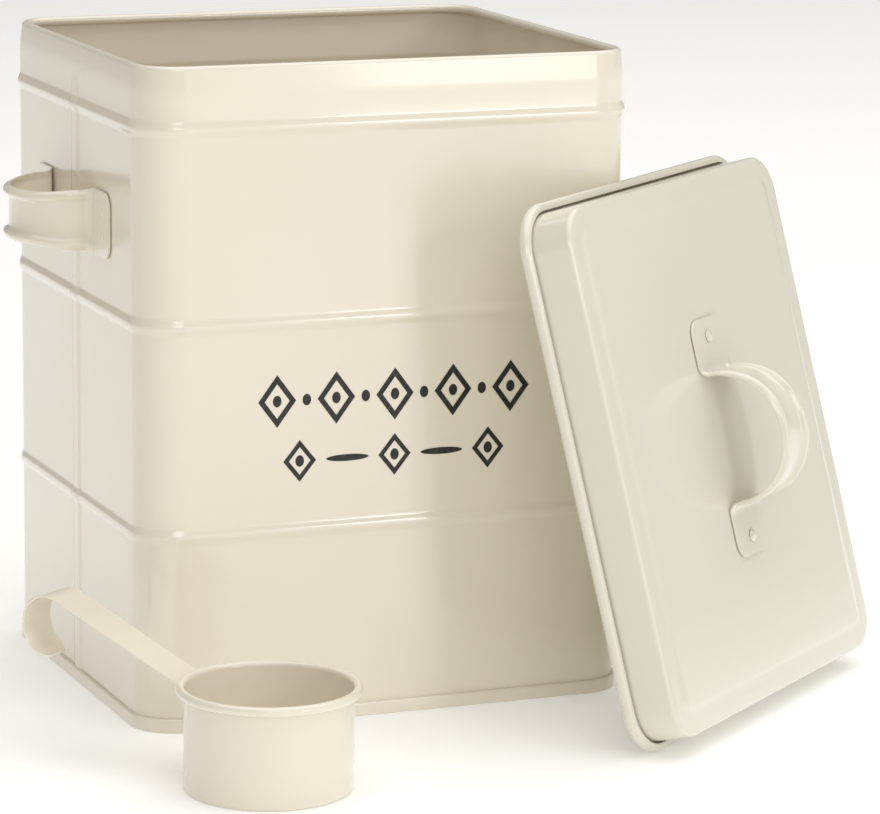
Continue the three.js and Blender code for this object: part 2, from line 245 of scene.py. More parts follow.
def grow(
    name: str,
    tree: FormNodes,
    finish: Material,
    values: dict[str, float | int],
    seed: bpy.types.Mesh | None = None,
) -> bpy.types.Object:
    """Runs a tree on a seed mesh and keeps the result as a plain mesh.

    Args:
        name: Name of the piece.
        tree: Finished geometry node tree.
        finish: Material for the piece.
        values: Input name to value.
        seed: Mesh that goes into the tree, empty if left out.

    Returns:
        The object, with no modifier left on it.
    """
    piece = show(name, seed or bpy.data.meshes.new(name))
    modifier = piece.modifiers.new("Form", "NODES")
    modifier.node_group = tree
    wanted = {"Material": finish, **values}
    for item in tree.interface.items_tree:
        if item.item_type == "SOCKET" and item.in_out == "INPUT" and item.name in wanted:
            modifier[item.identifier] = wanted[item.name]
    depsgraph = bpy.context.evaluated_depsgraph_get()
    result = bpy.data.meshes.new_from_object(piece.evaluated_get(depsgraph), depsgraph=depsgraph)
    piece.modifiers.clear()
    piece.data = result
    result.name = name
    return piece


def close_up(mesh: bpy.types.Mesh) -> None:
    """Merges doubles, fills open rings, turns faces outwards and shades smooth.

    Args:
        mesh: Mesh in millimetres, changed in place.
    """
    work = bmesh.new()
    work.from_mesh(mesh)
    bmesh.ops.remove_doubles(work, verts=work.verts, dist=MERGE)
    rim = [edge for edge in work.edges if edge.is_boundary]
    bmesh.ops.holes_fill(work, edges=rim, sides=0)
    bmesh.ops.recalc_face_normals(work, faces=work.faces)
    work.to_mesh(mesh)
    work.free()
    mesh.shade_smooth()
    mesh.set_sharp_from_angle(angle=SHARP_ANGLE)


def loft(name: str, rings: list[list[Point3]], finish: Material) -> bpy.types.Object:
    """Skins closed rings of points, end to end, into a capped solid.

    Args:
        name: Name of the piece.
        rings: Rings with the same number of points each.
        finish: Material for the piece.

    Returns:
        The object, in millimetres.
    """
    count = len(rings[0])
    faces = []
    for r in range(len(rings) - 1):
        for i in range(count):
            j = (i + 1) % count
            faces.append((r * count + i, r * count + j, (r + 1) * count + j, (r + 1) * count + i))
    mesh = bpy.data.meshes.new(name)
    mesh.from_pydata([p for ring in rings for p in ring], [], faces)
    mesh.materials.append(finish)
    close_up(mesh)
    return show(name, mesh)


def settle(piece: bpy.types.Object, place: Matrix, node: str | None) -> None:
    """Moves a piece's mesh to its place in metres and ties it to the model.

    Args:
        piece: Object whose mesh is in millimetres.
        place: Turn and place, in metres.
        node: Node of the model that the piece stands for, if any.
    """
    piece.data.transform(place @ Matrix.Scale(MILLIMETRE, 4))
    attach(piece, BODY)
    if node:
        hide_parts(node)
    LOG.info("%s: %d faces", piece.name, len(piece.data.polygons))


class Paint(NodeWork):
    """A material on its piece's own coordinates: one shader and what feeds it."""

    def __init__(self, name: str) -> None:
        """Starts a material.

        Args:
            name: Name of the material.
        """
        self.made = bpy.data.materials.new(name)
        self.made.use_nodes = True
        super().__init__(self.made.node_tree)
        self.shader = self.tree.nodes["Principled BSDF"]
        self.place = self.add("TexCoord", {}).outputs["Object"]

    def noise(self, scale: float, detail: float) -> Socket:
        """Adds a noise texture and returns its value."""
        values = {"Vector": self.place, "Scale": scale, "Detail": detail}
        return self.add("TexNoise", values).outputs["Fac"]

    def ramp(
        self, share: Socket, first: Shade, second: Shade, span: Point2 = (0.0, 1.0)
    ) -> Socket:
        """Adds a ramp between two colours.

        Args:
            share: Where a point is, from 0 to 1.
            first: Colour at the start.
            second: Colour at the end.
            span: Shares at which the change starts and ends.

        Returns:
            The ramp's colour.
        """
        node = self.add("ValToRGB", {"Fac": share})
        for stop, position, colour in zip(node.color_ramp.elements, span, (first, second)):
            stop.position = position
            stop.color = colour
        return node.outputs["Color"]


@dataclass(frozen=True)
class Enamel:
    """Gloss enamel on pressed steel: slow colour drift, fine specks, orange peel and sheet waves.

    Scales are in features to a metre, heights in metres.

    Attributes:
        name: Name of the material.
        colour: Main colour, as seen on a display.
        drifted: Colour that it drifts towards.
        speck_tint: What a speck leaves of the colour's red, green and blue.
        roughness: Lowest and highest roughness, as handling marks vary it.
    """

    name: str
    colour: Colour
    drifted: Colour
    drift_scale: float = 7.0
    drift_span: Point2 = (0.2, 0.85)
    speck_scale: float = 1400.0
    speck_span: Point2 = (0.66, 0.84)
    speck_tint: Colour = (0.965, 0.96, 0.945)
    mark_scale: float = 24.0
    mark_span: Point2 = (0.3, 0.7)
    roughness: Point2 = (0.2, 0.27)
    wave_scale: float = 5.0
    wave_height: float = 0.00006
    peel_scale: float = 380.0
    peel_height: float = 0.0000025

    def material(self) -> Material:
        """Builds the node material, with a clear top coat."""
        paint = Paint(self.name)
        normal = self._relief(paint)
        look = {
            "Base Color": self._tone(paint),
            "Roughness": self._marks(paint),
            "Normal": normal,
            "Specular IOR Level": 0.5,
            "Coat Normal": normal,
            "Coat Weight": 0.9,
            "Coat Roughness": 0.1,
            "Coat IOR": 1.5,
        }
        paint.feed(paint.shader, look)
        return paint.made

    def _tone(self, paint: Paint) -> Socket:
        """Multiplies the slow drift of colour by the fine specks.

        Args:
            paint: Material under construction.

        Returns:
            The colour.
        """
        drift = paint.noise(self.drift_scale, detail=1.0)
        speck = paint.noise(self.speck_scale, detail=2.0)
        tone = paint.ramp(drift, linear(self.colour), linear(self.drifted), self.drift_span)
        grain = paint.ramp(speck, (1.0, 1.0, 1.0, 1.0), (*self.speck_tint, 1.0), self.speck_span)
        values = {"Factor": 1.0, "A": tone, "B": grain}
        return paint.add("Mix", values, data_type="RGBA", blend_type="MULTIPLY").outputs["Result"]

    def _marks(self, paint: Paint) -> Socket:
        """Varies the roughness over the surface, as light handling marks do.

        Args:
            paint: Material under construction.

        Returns:
            The roughness.
        """
        values = {
            "Value": paint.noise(self.mark_scale, detail=2.0),
            "From Min": self.mark_span[0],
            "From Max": self.mark_span[1],
            "To Min": self.roughness[0],
            "To Max": self.roughness[1],
        }
        return paint.add("MapRange", values).outputs["Result"]

    def _relief(self, paint: Paint) -> Socket:
        """Lays the orange peel of sprayed enamel over the slow waves of thin sheet.

        Args:
            paint: Material under construction.

        Returns:
            The normal.
        """
        waves = {"Distance": self.wave_height, "Height": paint.noise(self.wave_scale, detail=0.0)}
        low = paint.add("Bump", {"Strength": 1.0, **waves}).outputs["Normal"]
        peel = {"Distance": self.peel_height, "Height": paint.noise(self.peel_scale, detail=0.0)}
        return paint.add("Bump", {"Strength": 1.0, **peel, "Normal": low}).outputs["Normal"]


@dataclass(frozen=True)
class Ink:
    """Black stencil ink, laid a little unevenly.

    Attributes:
        name: Name of the material.
        colour: Where the ink is full, as seen on a display.
        thin: Where the ink is thin.
    """

    name: str = "stencil_ink"
    colour: Colour = (22, 21, 20)
    thin: Colour = (58, 54, 50)
    grain_scale: float = 520.0
    thin_span: Point2 = (0.45, 0.8)
    roughness: float = 0.42

    def material(self) -> Material:
        """Builds the node material."""
        paint = Paint(self.name)
        cover = paint.noise(self.grain_scale, detail=4.0)
        tone = paint.ramp(cover, linear(self.colour), linear(self.thin), self.thin_span)
        paint.feed(paint.shader, {"Base Color": tone, "Roughness": self.roughness})
        return paint.made


class Turn(Enum):
    """What a pressed section runs round."""

    RECTANGLE = "rounded rectangle"
    CIRCLE = "circle"


class Press:
    """Sweeps sheet sections round a rounded rectangle or a circle with geometry nodes."""

    def __init__(self) -> None:
        """Builds both trees."""
        self.trees = {turn: self._tree(turn) for turn in Turn}

    def _tree(self, turn: Turn) -> FormNodes:
        """Builds the tree that sweeps its seed's line round one kind of outline.

        Args:
            turn: Kind of outline.

        Returns:
            The finished tree.
        """
        work = FormTree(f"pressed_{turn.name.lower()}")
        steps = work.count("Steps")
        radius = work.number("Radius")
        if turn is Turn.CIRCLE:
            round_path = work.add("CurvePrimitiveCircle", {"Resolution": steps, "Radius": radius})
            path = round_path.outputs["Curve"]
        else:
            sides = {"Width": work.number("Width"), "Height": work.number("Depth")}
            box = work.add("CurvePrimitiveQuadrilateral", sides)
            rounding = {"Curve": box.outputs[0], "Count": steps, "Radius": radius}
            path = work.add("FilletCurve", rounding, mode="POLY").outputs[0]
        upright = work.add("SetCurveNormal", {"Curve": path}, mode="Z_UP")
        line = work.add("MeshToCurve", {"Mesh": work.entry.outputs["Geometry"]})
        swept = work.add(
            "CurveToMesh", {"Curve": upright.outputs[0], "Profile Curve": line.outputs[0]}
        )
        return work.finish(swept.outputs[0])

    def sweep(
        self,
        name: str,
        section: list[Point2],
        finish: Material,
        values: dict[str, float | int],
        closed: bool,
        turn: Turn = Turn.RECTANGLE,
    ) -> bpy.types.Object:
        """Sweeps a section and closes the result into a solid.

        Args:
            name: Name of the piece.
            section: Offsets outwards from the outline, and heights.
            finish: Material for the piece.
            values: Sizes of the outline.
            closed: Whether the section ends where it starts.
            turn: Kind of outline.

        Returns:
            The object, in millimetres, about its own middle.
        """
        seed = bpy.data.meshes.new(name)
        last = len(section) if closed else len(section) - 1
        edges = [(i, (i + 1) % len(section)) for i in range(last)]
        seed.from_pydata([(out, -up, 0.0) for out, up in section], edges, [])
        piece = grow(name, self.trees[turn], finish, values, seed)
        close_up(piece.data)
        return piece


@dataclass
class Tin:
    """The tin's body: seamed and beaded wall, countersunk bottom and stencilled front.

    Attributes:
        press: What sweeps the sections.
        finish: Enamel of the wall and the bottom.
        width: Outside width of the wall.
        depth: Outside depth of the wall.
        height: Overall height.
        corner: Outside radius of the upright corners.
    """

    press: Press
    finish: Material
    width: float = 196.0
    depth: float = 172.0
    height: float = 250.0
    corner: float = 17.0
    corner_steps: int = 22
    rim_roll: float = 3.3
    collar_taper: float = 0.9
    collar_height: float = 12.0
    knee_radius: float = 60.0
    knee_steps: int = 4
    bead_height: float = 7.2
    bead_proud: float = 1.0
    bead_steps: int = 16
    bead_spacing: float = 73.2
    low_bead_spacing: float = 79.0
    lid_height: float = 20.0
    foot_height: float = 5.3
    foot_proud: float = 1.2
    foot_round: float = 0.7
    foot_nip: float = 0.04
    foot_steps: int = 5
    panel_recess: float = 3.2
    panel_ledge: float = 6.0
    panel_round: float = 1.0
    lap_edge: float = 2.0
    lap_width: float = 6.0
    lap_lift: float = 0.5
    lap_run_out: float = 3.0
    lap_margin: float = 0.8
    lap_fade: float = 6.0
    lap_cuts: int = 3
    roll_steps: int = 22

    def outline(self) -> dict[str, float | int]:
        """Returns the sizes of the wall's outline."""
        return {
            "Width": self.width,
            "Depth": self.depth,
            "Radius": self.corner,
            "Steps": self.corner_steps,
        }

    def bead_middles(self) -> list[float]:
        """Returns the heights of the beads' middles, lowest first."""
        top = self.height + SHEET - self.lid_height - SEAT_GAP - self.bead_height / 2
        return [top - self.bead_spacing - self.low_bead_spacing, top - self.bead_spacing, top]

    def face(self) -> list[Point2]:
        """Returns the wall's outer line from above the foot to the collar."""
        line = [(0.0, self.foot_height + 2 * SEAT_GAP)]
        for middle in self.bead_middles():
            for i in range(self.bead_steps + 1):
                share = 2 * i / self.bead_steps - 1
                bulge = (1 + cos(pi * share)) / 2
                line.append((self.bead_proud * bulge, middle + share * self.bead_height / 2))
        lean = atan2(self.collar_taper, self.collar_height - self.rim_roll / 2)
        knee = self.height - self.collar_height
        line += arc(-self.knee_radius, knee, self.knee_radius, 0, lean, self.knee_steps)
        return line

    def wall_section(self) -> list[Point2]:
        """Returns the wall's closed section, with its rolled rim."""
        roll = self.rim_roll / 2
        middle = (-self.collar_taper - roll, self.height - roll)
        outside = arc(*middle, roll, 0, 1.5 * pi, self.roll_steps)
        inside = arc(*middle, roll - SHEET, 1.5 * pi, 0, self.roll_steps)
        foot = SHEET + SEAT_GAP
        inner = [(out - SHEET, up) for out, up in reversed(self.face())]
        return [(0.0, foot), *self.face(), *outside, *inside, *inner, (-SHEET, foot)]

    def wall(self) -> bpy.types.Object:
        """Builds the wall with its lap seam."""
        piece = self.press.sweep(
            "wall_pressing", self.wall_section(), self.finish, self.outline(), closed=True
        )
        self._lap(piece.data)
        return piece

    def _lap(self, mesh: bpy.types.Mesh) -> None:
        """Lifts the lap seam's strip out of the left wall.

        Args:
            mesh: The wall, changed in place.
        """
        high = self.lap_edge + self.lap_lift / 2
        cuts = [high + self.lap_margin, high, (high + self.lap_edge) / 2, self.lap_edge]
        low = self.lap_edge - self.lap_width
        cuts += [low - self.lap_run_out * i / self.lap_cuts for i in range(self.lap_cuts + 1)]
        cuts += [self.lap_edge - self.lap_margin, low + self.lap_margin]
        cuts.append(low - self.lap_run_out - self.lap_margin)
        work = bmesh.new()
        work.from_mesh(mesh)
        for cut in cuts:
            left = [f for f in work.faces if f.calc_center_median().x < self.corner - self.width / 2]
            edges = {e for f in left for e in f.edges}
            verts = {v for f in left for v in f.verts}
            bmesh.ops.bisect_plane(
                work, geom=[*verts, *edges, *left], plane_co=(0, cut, 0), plane_no=(0, 1, 0)
            )
        work.normal_update()
        top = self.height - self.collar_height
        skin = SHEET * 0.9 - self.width / 2
        turned_left = -0.3
        for vert in work.verts:
            if vert.normal.x < turned_left and vert.co.x < skin:
                fade = ease((top - vert.co.z) / self.lap_fade)
                vert.co.x -= self.lap_lift * self._lap_share(vert.co.y) * fade
        work.to_mesh(mesh)
        work.free()

    def _lap_share(self, y: float) -> float:
        """Returns how far the lap stands out at a place along the left wall, from 0 to 1."""
        low = self.lap_edge - self.lap_width
        rise = (self.lap_edge + self.lap_lift / 2 - y) / (self.lap_lift / 2)
        fall = (y - (low - self.lap_run_out)) / self.lap_run_out
        return min(ease(rise), ease(fall))

    def base_section(self) -> list[Point2]:
        """Returns the bottom panel's section, from its top face round the seam to its underside."""
        inner = -SHEET - SEAT_GAP
        fold = inner - SHEET
        panel = self.panel_recess + SHEET
        bend = self.panel_round
        steps = self.foot_steps
        soft = self.foot_round
        seam = self.foot_proud - soft
        return [
            (fold - self.panel_ledge, panel),
            *arc(fold - bend, panel + bend, bend, -pi / 2, 0, steps),
            (fold, self.foot_height),
            (inner, self.foot_height),
            (inner, SHEET),
            (self.foot_nip, SHEET),
            (self.foot_nip, self.foot_height),
            *arc(seam, self.foot_height - soft, soft, pi / 2, 0, steps),
            *arc(seam, soft, soft, 0, -pi / 2, steps),
            (fold, 0.0),
            (fold, self.panel_recess),
            (fold - self.panel_ledge, self.panel_recess),
        ]

    def base(self) -> bpy.types.Object:
        """Builds the bottom panel with its seam."""
        return self.press.sweep(
            "bottom_pressing", self.base_section(), self.finish, self.outline(), closed=False
        )

    def build(self, place: Matrix) -> None:
        """Builds and ties the wall and the bottom.

        Args:
            place: The tin's place, in metres.
        """
        settle(self.wall(), place, "tin_wall")
        settle(self.base(), place, "tin_base")


@dataclass
class Stencil:
    """Plain ornament in black ink on the front: two rows of lozenges.

    Attributes:
        ink: Material of the print.
        film: Thickness of the ink.
        centre: Middle of the print along the front.
        row_height: Height of the row of lozenges above the foot.
        rule_height: Height of the lower row above the foot.
        order: Direction along which the print's corners and faces are put in order.
    """

    ink: Material
    film: float = 0.05
    lift: float = 0.03
    centre: float = 0.5
    row_height: float = 124.0
    rule_height: float = 100.8
    lozenges: int = 5
    lozenge_size: Point2 = (15.0, 20.0)
    row_width: float = 109.0
    stroke: float = 0.66
    dot: float = 1.7
    dot_stretch: float = 1.3
    bare: float = 0.001
    low_width: float = 89.0
    low_lozenges: int = 3
    low_size: Point2 = (13.0, 16.0)
    dash: Point2 = (17.0, 2.6)
    oval_sides: int = 28
    order: Vector = field(default_factory=lambda: Vector((1.0, 7.3, 0.317)))

    def _tree(self) -> FormNodes:
        """Builds the tree that repeats a hollow or full lozenge or oval along a line."""
        work = FormTree("stencil_row")
        count = work.count("Count")
        start = work.vector(work.number("Start"), 0.0, 0.0)
        step = work.vector(work.number("Step"), 0.0, 0.0)
        scale = work.vector(work.number("Half Width"), work.number("Half Height"), 1.0)
        hollow = work.number("Hollow")
        sides = work.count("Sides")
        outer = work.add("CurvePrimitiveCircle", {"Resolution": sides, "Radius": 1.0})
        inner = work.add("CurvePrimitiveCircle", {"Resolution": sides, "Radius": hollow})
        both = work.add("JoinGeometry", {})
        work.tree.links.new(inner.outputs["Curve"], both.inputs[0])
        work.tree.links.new(outer.outputs["Curve"], both.inputs[0])
        sheet = work.add("FillCurve", {"Curve": both.outputs[0]})
        return work.finish(work.row(sheet.outputs[0], scale, count, start, step))

    def _rows(self) -> list[tuple[str, float, dict[str, float | int]]]:
        """Returns each row's name, its height above the foot and the tree's inputs."""
        pip = (self.dot, self.dot * self.dot_stretch)
        dash = (self.dash[0] / 2, self.dash[1] / 2)
        rows = []
        for place, count, width, size, height, link in (
            ("high", self.lozenges, self.row_width, self.lozenge_size, self.row_height, pip),
            ("low", self.low_lozenges, self.low_width, self.low_size, self.rule_height, dash),
        ):
            step = (width - size[0]) / (count - 1)
            first = -step * (count - 1) / 2
            half = (size[0] / 2, size[1] / 2)
            for kind, start, number, form, hollow, sides in (
                ("lozenges", first, count, half, self.stroke, 4),
                ("pips", first, count, pip, self.bare, self.oval_sides),
                ("links", first + step / 2, count - 1, link, self.bare, self.oval_sides),
            ):
                values = {"Count": number, "Start": start, "Step": step, "Hollow": hollow}
                values |= {"Half Width": form[0], "Half Height": form[1], "Sides": sides}
                rows.append((f"print_{place}_{kind}", height, values))
        return rows

    def build(self, place: Matrix, front: float) -> None:
        """Builds the print and lays it on the front.

        Args:
            place: The tin's place, in metres.
            front: How far the front wall is from the tin's middle, in millimetres.
        """
        tree = self._tree()
        for name, height, values in self._rows():
            piece = grow(name, tree, self.ink, values)
            stand = Matrix.Translation((self.centre, -front - self.lift, height))
            piece.data.transform(stand @ Matrix.Rotation(pi / 2, 4, "X"))
            self._thicken(piece.data)
            settle(piece, place, None)

    def _thicken(self, mesh: bpy.types.Mesh) -> None:
        """Gives the flat ink its thickness towards the front, and its faces a fixed order.

        Args:
            mesh: The flat print, changed in place.
        """
        work = bmesh.new()
        work.from_mesh(mesh)
        bmesh.ops.remove_doubles(work, verts=work.verts, dist=MERGE)
        grown = bmesh.ops.extrude_face_region(work, geom=work.faces[:], use_keep_orig=True)
        for item in grown["geom"]:
            if isinstance(item, bmesh.types.BMVert):
                item.co.y -= self.film
        bmesh.ops.recalc_face_normals(work, faces=work.faces)
        work.verts.sort(key=lambda vert: vert.co.dot(self.order))
        work.faces.sort(key=lambda face: face.calc_center_median().dot(self.order))
        work.to_mesh(mesh)
        work.free()


@dataclass
class StrapHandle:
    """A strap handle: flat tabs, tight bends and an arch with a bead pressed along each edge.

    Attributes:
        finish: Enamel of the handle.
        span: Distance between the bends.
        rise: Height of the arch.
        bend: Radius of the bends.
    """

    finish: Material
    span: float = 56.4
    rise: float = 28.0
    bend: float = 3.1
    tab_length: float = 18.0
    tab_width: float = 25.4
    tab_corner: float = 6.0
    strap_width: float = 20.5
    bead_width: float = 4.6
    bead_proud: float = 2.2
    bead_edge: float = 0.12
    bead_foot: float = 0.1
    edge_round: float = 0.2
    bend_steps: int = 10
    arch_steps: int = 56
    corner_steps: int = 9
    bead_steps: int = 12

    def stations(self) -> list[Station]:
        """Returns the path's stations: place, way out, narrowing at the tab's end and form."""
        half = self.span / 2
        low = SEAT_GAP + STRAP_SHEET
        arch_half = half - self.bend
        arch_rise = self.rise - self.bend - low
        end = half + self.tab_length
        line = []
        for i in range(self.corner_steps + 1):
            turn = i * pi / 2 / self.corner_steps
            narrow = self.tab_corner * (1 - sin(turn))
            line.append((end - self.tab_corner * (1 - cos(turn)), low, 0.0, 1.0, narrow, 0.0))
        line.append((half + self.bend, low, 0.0, 1.0, 0.0, 0.0))
        for i in range(self.bend_steps + 1):
            turn = i * pi / 2 / self.bend_steps
            place = (half - self.bend * sin(turn), low + self.bend * (1 - cos(turn)))
            line.append((*place, sin(turn), cos(turn), 0.0, 0.5 * ease(i / self.bend_steps)))
        for i in range(1, self.arch_steps // 2 + 1):
            turn = i * pi / self.arch_steps
            out = Vector((cos(turn) / arch_half, sin(turn) / arch_rise)).normalized()
            place = (arch_half * cos(turn), low + self.bend + arch_rise * sin(turn))
            line.append((*place, out.x, out.y, 0.0, 0.5 + 0.5 * ease(3.0 * i / self.arch_steps)))
        return line + [(-p, q, -np, nq, narrow, form) for p, q, np, nq, narrow, form in line[-2::-1]]

    def section(self, width: float, form: float) -> list[Point2]:
        """Returns the strap's closed section at a station.

        Args:
            width: Width of the strap there.
            form: How far its beads are formed, from 0 to 1.

        Returns:
            Places across the strap and heights above its face.
        """
        half = width / 2
        bead = self.bead_proud * form
        edge = self.bead_edge
        outer = [(half, bead * self.bead_foot - self.edge_round)]
        outer.append((half - self.edge_round, bead * edge))
        for i in range(1, self.bead_steps + 1):
            share = i / self.bead_steps
            if share <= 0.5:
                height = edge + (1 - edge) * sqrt(1 - (1 - 2 * share) ** 2)
            else:
                height = (1 + cos(pi * (2 * share - 1))) / 2
            outer.append((half - self.edge_round - share * self.bead_width, bead * height))
        outer += [(-s, h) for s, h in reversed(outer)]
        lift = {half: 2 * self.edge_round}
        inner = [(s, h - STRAP_SHEET + lift.get(abs(s), 0.0)) for s, h in reversed(outer)]
        return outer + inner

    def mesh(self, name: str) -> bpy.types.Object:
        """Builds the handle along X with its tabs on the XY plane."""
        rings = []
        for p, q, np, nq, narrow, form in self.stations():
            width = self.tab_width - 2 * narrow + (self.strap_width - self.tab_width) * form
            rings.append([(p + h * np, s, q + h * nq) for s, h in self.section(width, form)])
        return loft(name, rings, self.finish)


@dataclass
class Welds:
    """Spot welds on the side handles' tabs: shallow round pips in a short row.

    Attributes:
        finish: Enamel of the handles.
        radius: Radius of a pip.
        rise: How far a pip stands out.
    """

    finish: Material
    radius: float = 1.5
    rise: float = 0.35
    pips: int = 2
    pip_sides: int = 24
    spacing: float = 9.0
    from_middle: float = 38.0

    def tree(self) -> FormNodes:
        """Builds the tree that sets pips in a row across a tab."""
        work = FormTree("weld_row")
        radius = work.number("Pip Radius")
        scale = work.vector(radius, radius, work.number("Rise"))
        step = work.vector(0.0, work.number("Spacing"), 0.0)
        start = work.vector(0.0, work.number("Start"), 0.0)
        count = work.count("Count")
        values = {"Segments": self.pip_sides, "Rings": self.pip_sides // 2, "Radius": 1.0}
        pip = work.add("MeshUVSphere", values)
        return work.finish(work.row(pip.outputs[0], scale, count, start, step))

    def build(self, name: str, seat: Matrix, place: Matrix) -> None:
        """Builds the pips of one side handle.

        Args:
            name: Start of the pieces' names.
            seat: The handle's turn and place on the tin, in millimetres.
            place: The tin's place, in metres.
        """
        tree = self.tree()
        values = {
            "Pip Radius": self.radius,
            "Rise": self.rise,
            "Spacing": self.spacing,
            "Start": -self.spacing / 2,
            "Count": self.pips,
        }
        for end, way in (("front", -1), ("back", 1)):
            piece = grow(f"{name}_{end}", tree, self.finish, values)
            piece.data.shade_smooth()
            shift = Matrix.Translation((way * self.from_middle, 0, SEAT_GAP + STRAP_SHEET))
            piece.data.transform(seat @ shift)
            settle(piece, place, None)


@dataclass
class Lid:
    """The lid: stepped panel, skirt, outward rolled edge, riveted handle.

    Attributes:
        press: What sweeps the sections.
        finish: Enamel of the lid.
        tin: The body that it fits.
        clearance: Room between the wall and the skirt.
        corner: Outside radius of the skirt's corners.
        lean: How far it leans back.
        plan_angle: Its turn seen from above.
        slide: How far the tin's corner is from the middle of its top edge.
    """

    press: Press
    finish: Material
    tin: Tin
    clearance: float = 1.2
    corner: float = 14.6
    edge_radius: float = 1.8
    roll: float = 4.4
    roll_gap: float = 0.9
    border: float = 8.5
    step: float = 0.5
    step_run: float = 2.4
    lean: float = radians(15.2)
    plan_angle: float = radians(38.8)
    slide: float = 5.7
    ramp_steps: int = 6
    edge_steps: int = 8
    inner_edge_steps: int = 6
    roll_steps: int = 26
    rivet_radius: float = 2.5
    rivet_rise: float = 0.7
    rivet_shank: float = 1.3
    rivet_from_end: float = 7.2
    rivet_sides: int = 40
    dome_steps: int = 8
    dome_reach: float = 0.995
    dome_hole: float = 0.02

    def spread(self) -> float:
        """Returns how far the skirt stands outside the tin's wall."""
        return self.clearance + SHEET

    def section(self) -> list[Point2]:
        """Returns the lid's section from its panel over its skirt and roll and back inside."""
        roll = self.roll / 2
        offset = roll - SHEET
        end = acos((self.roll_gap - offset) / roll)
        height = self.tin.lid_height
        edge = self.edge_radius
        shares = [i / self.ramp_steps for i in range(self.ramp_steps + 1)]
        ramp = [
            (-self.border - self.step_run * (1 - s), height + self.step * (1 - ease(s))) for s in shares
        ]
        flat = (-self.border - 2 * self.step_run, height + self.step)
        top = [flat, *ramp, (-self.border + self.step_run, height)]
        under = [(out, up - SHEET) for out, up in reversed(top)]
        return [
            *top,
            *arc(-edge, height - edge, edge, pi / 2, 0, self.edge_steps),
            *arc(offset, roll, roll - SHEET, pi, 2 * pi + end, self.roll_steps),
            *arc(offset, roll, roll, 2 * pi + end, pi, self.roll_steps),
            *arc(-edge, height - edge, edge - SHEET, 0, pi / 2, self.inner_edge_steps),
            *under,
        ]

    def pose(self, centre: Vector) -> Matrix:
        """Works out how the lid stands: on its short edge, its top edge on the tin's corner.

        Args:
            centre: Middle of the tin's foot, in metres.

        Returns:
            The lid's turn and place, in metres.
        """
        reach = self.tin.width / 2 + self.spread() + self.roll / 2 - SHEET
        half_roll = self.roll / 2
        up = pi / 2 - self.lean
        lift = half_roll + reach * sin(up) - half_roll * cos(up)
        top_reach = reach * cos(up) - half_roll * sin(up)
        apart = self.tin.corner + half_roll + SEAT_GAP + top_reach
        back = Vector((-sin(self.plan_angle), cos(self.plan_angle), 0))
        along = Vector((cos(self.plan_angle), sin(self.plan_angle), 0))
        corner = Vector((self.tin.width / 2 - self.tin.corner, self.tin.corner - self.tin.depth / 2, 0))
        foot = (corner - back * apart + along * self.slide + Vector((0, 0, lift))) * MILLIMETRE
        turn = Matrix.Rotation(pi / 2 + self.plan_angle, 4, "Z") @ Matrix.Rotation(-up, 4, "Y")
        return Matrix.Translation(centre + foot) @ turn

    def rivet(self, name: str, x: float) -> bpy.types.Object:
        """Builds one rivet: a domed head outside, its shank and a head inside.

        Args:
            name: Name of the piece.
            x: Place along the lid.

        Returns:
            The rivet, in the lid's own millimetres.
        """
        panel = self.tin.lid_height + self.step
        top = panel + 2 * SEAT_GAP + STRAP_SHEET
        bottom = panel - SHEET - SEAT_GAP
        sphere = (self.rivet_radius**2 + self.rivet_rise**2) / 2 / self.rivet_rise
        first = pi / 2 - self.dome_hole
        last = pi / 2 - asin(self.rivet_radius / sphere) * self.dome_reach
        dome = arc(0, top + self.rivet_rise - sphere, sphere, first, last, self.dome_steps)
        belly = [(r, top + bottom - z) for r, z in dome]
        section = [*dome, (self.rivet_radius, top), (self.rivet_shank, top)]
        section += [(self.rivet_shank, bottom), (self.rivet_radius, bottom), *reversed(belly)]
        about = [(r - self.rivet_radius, z) for r, z in section]
        values = {"Radius": self.rivet_radius, "Steps": self.rivet_sides}
        piece = self.press.sweep(name, about, self.finish, values, closed=False, turn=Turn.CIRCLE)
        piece.data.transform(Matrix.Translation((x, 0, 0)))
        return piece

    def build(self, centre: Vector) -> None:
        """Builds and ties the shell, the handle and the rivets.

        Args:
            centre: Middle of the tin's foot, in metres.
        """
        place = self.pose(centre)
        outline = {
            "Width": self.tin.width + 2 * self.spread(),
            "Depth": self.tin.depth + 2 * self.spread(),
            "Radius": self.corner,
            "Steps": self.tin.corner_steps,
        }
        shell = self.press.sweep("lid_pressing", self.section(), self.finish, outline, closed=False)
        settle(shell, place, "lid_shell")
        strap = StrapHandle(self.finish)
        handle = strap.mesh("lid_strap")
        handle.data.transform(Matrix.Translation((0, 0, self.tin.lid_height + self.step)))
        settle(handle, place, "lid_handle")
        along = strap.span / 2 + strap.tab_length - self.rivet_from_end
        for name, node, way in (
            ("upper_rivet", "lid_rivet_upper", 1),
            ("lower_rivet", "lid_rivet_lower", -1),
        ):
            settle(self.rivet(name, way * along), place, node)


